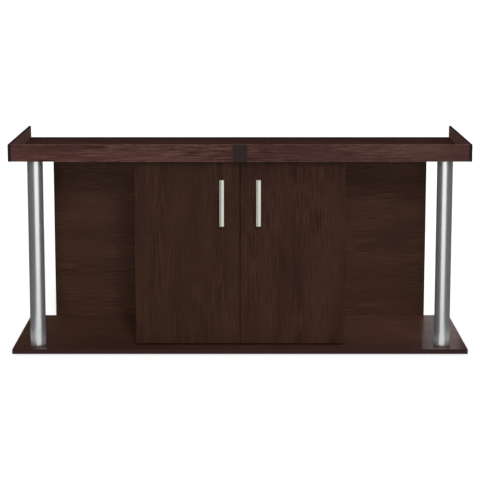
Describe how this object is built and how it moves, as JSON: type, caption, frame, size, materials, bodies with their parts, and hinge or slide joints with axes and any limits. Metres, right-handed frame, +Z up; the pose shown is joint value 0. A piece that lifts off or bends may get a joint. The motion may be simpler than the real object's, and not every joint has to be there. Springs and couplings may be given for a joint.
{
  "type": "aquarium cabinet",
  "caption": "Low wide aquarium stand: a rimmed tray for the tank over a middle cabinet with double doors, open niches at the sides and round metal columns at the front corners.",
  "frame": {"origin": "centre of the bounding box at floor level, under the glides", "axes": "+X to the right along the length, +Y from the front to the back, +Z up"},
  "size_m": [1.52, 0.512, 0.709],
  "materials": {
    "dark_laminate": "dark wenge laminate on board, fine straight grain, low sheen",
    "satin_aluminium": "satin anodised tube",
    "satin_handle_metal": "satin metal",
    "badge_grey": "plain dark grey plate",
    "dark_magnet": "pressed magnet",
    "beech_dowel": "raw beech",
    "cam_zinc": "die-cast zinc",
    "brown_nylon": "dark brown nylon",
    "black_plastic": "moulded black plastic",
    "zinc_steel": "zinc-plated steel"
  },
  "bodies": {
    "cabinet": {"back_panel": "dark_laminate", "back_screws": "zinc_steel", "badge_plate": "badge_grey", "base_panel": "dark_laminate", "base_screws": "zinc_steel", "cam_bolts": "zinc_steel", "cam_discs": "cam_zinc", "catch_screws": "zinc_steel", "centre_partition": "dark_laminate", "column_bolts": "zinc_steel", "column_plugs": "brown_nylon", "floor_glides": "black_plastic", "front_fascia": "dark_laminate", "left_catch_housing": "black_plastic", "left_catch_magnet": "dark_magnet", "left_column": "satin_aluminium", "left_hose_grommet": "black_plastic", "left_rim": "dark_laminate", "left_side_panel": "dark_laminate", "panel_dowels": "beech_dowel", "pivot_pins": "zinc_steel", "right_catch_housing": "black_plastic", "right_catch_magnet": "dark_magnet", "right_column": "satin_aluminium", "right_hose_grommet": "black_plastic", "right_rim": "dark_laminate", "right_shelf": "dark_laminate", "right_side_panel": "dark_laminate", "rim_dowels": "beech_dowel", "shelf_pins": "zinc_steel", "thrust_washers": "brown_nylon", "top_panel": "dark_laminate"},
    "left_door": {"left_door": "dark_laminate", "left_door_bushes": "brown_nylon", "left_handle": "satin_handle_metal", "left_handle_screws": "zinc_steel", "left_strike_plate": "zinc_steel", "left_strike_screw": "zinc_steel"},
    "right_door": {"right_door": "dark_laminate", "right_door_bushes": "brown_nylon", "right_handle": "satin_handle_metal", "right_handle_screws": "zinc_steel", "right_strike_plate": "zinc_steel", "right_strike_screw": "zinc_steel"}
  },
  "joints": [
    {"name": "left_door_pivot", "type": "hinge", "parent": "cabinet", "child": "left_door", "pos_m": [-0.342, -0.193, 0.336], "axis": [0, 0, -1], "range_deg": [0, 170]},
    {"name": "right_door_pivot", "type": "hinge", "parent": "cabinet", "child": "right_door", "pos_m": [0.342, -0.193, 0.336], "axis": [0, 0, 1], "range_deg": [0, 170]}
  ]
}
